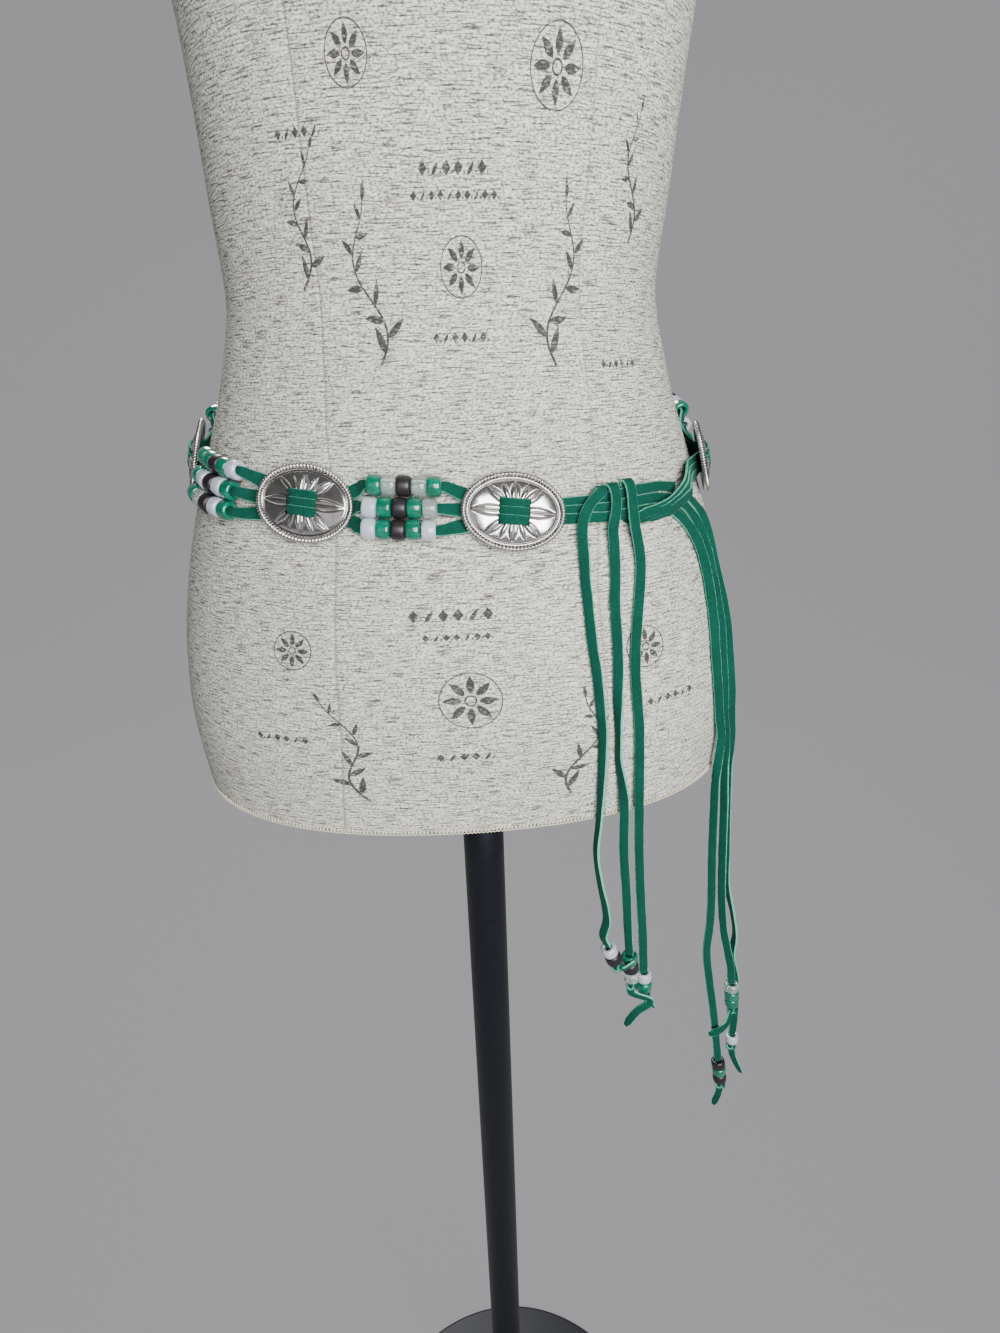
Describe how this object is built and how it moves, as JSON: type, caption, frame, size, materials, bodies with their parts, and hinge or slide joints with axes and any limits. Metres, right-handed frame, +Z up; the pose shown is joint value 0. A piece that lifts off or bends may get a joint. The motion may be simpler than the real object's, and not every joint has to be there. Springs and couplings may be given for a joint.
{
  "type": "concho belt on a limbless dress form",
  "caption": "Tied hip belt of metal conchos and rows of beads threaded on suede laces, worn on a limbless dress form on a pole stand.",
  "frame": {"origin": "centre of the stand's foot, on the floor", "axes": "+Z up along the pole, -Y towards the front of the form, +X to the viewer's right"},
  "size_m": [0.37, 0.37, 1.7453],
  "materials": {
    "form_cover": "warm grey-beige heathered jersey, matte",
    "suede_lace": "emerald suede, matte, with paler cut edges",
    "antique_silver": "antiqued silver plate, polished high spots and dark recesses",
    "pony_beads": "glossy moulded plastic: translucent green, black, pearl white and clear",
    "stand_metal": "near-black enamel, semi-gloss",
    "cap_wood": "dark stained wood, satin"
  },
  "bodies": {
    "root": {"foot": "stand_metal", "pole": "stand_metal", "pole_collar": "stand_metal", "form_body": "form_cover", "neck_cap": "cap_wood", "concho_1": "antique_silver", "concho_2": "antique_silver", "concho_3": "antique_silver", "concho_4": "antique_silver", "concho_5": "antique_silver", "concho_6": "antique_silver", "concho_7": "antique_silver", "beads_1_top": "pony_beads", "beads_1_middle": "pony_beads", "beads_1_bottom": "pony_beads", "beads_2_top": "pony_beads", "beads_2_middle": "pony_beads", "beads_2_bottom": "pony_beads", "beads_3_top": "pony_beads", "beads_3_middle": "pony_beads", "beads_3_bottom": "pony_beads", "beads_4_top": "pony_beads", "beads_4_middle": "pony_beads", "beads_4_bottom": "pony_beads", "beads_5_top": "pony_beads", "beads_5_middle": "pony_beads", "beads_5_bottom": "pony_beads", "beads_6_top": "pony_beads", "beads_6_middle": "pony_beads", "beads_6_bottom": "pony_beads", "belt_lace_top": "suede_lace", "belt_lace_middle": "suede_lace", "belt_lace_bottom": "suede_lace", "tail_left_1": "suede_lace", "tail_left_1_beads": "pony_beads", "tail_left_1_knot": "suede_lace", "tail_left_2": "suede_lace", "tail_left_2_beads": "pony_beads", "tail_left_2_knot": "suede_lace", "tail_left_3": "suede_lace", "tail_left_3_beads": "pony_beads", "tail_left_3_knot": "suede_lace", "tail_right_1": "suede_lace", "tail_right_1_beads": "pony_beads", "tail_right_1_knot": "suede_lace", "tail_right_2": "suede_lace", "tail_right_2_beads": "pony_beads", "tail_right_2_knot": "suede_lace", "tail_right_3": "suede_lace", "tail_right_3_beads": "pony_beads", "tail_right_3_knot": "suede_lace"}
  },
  "joints": []
}
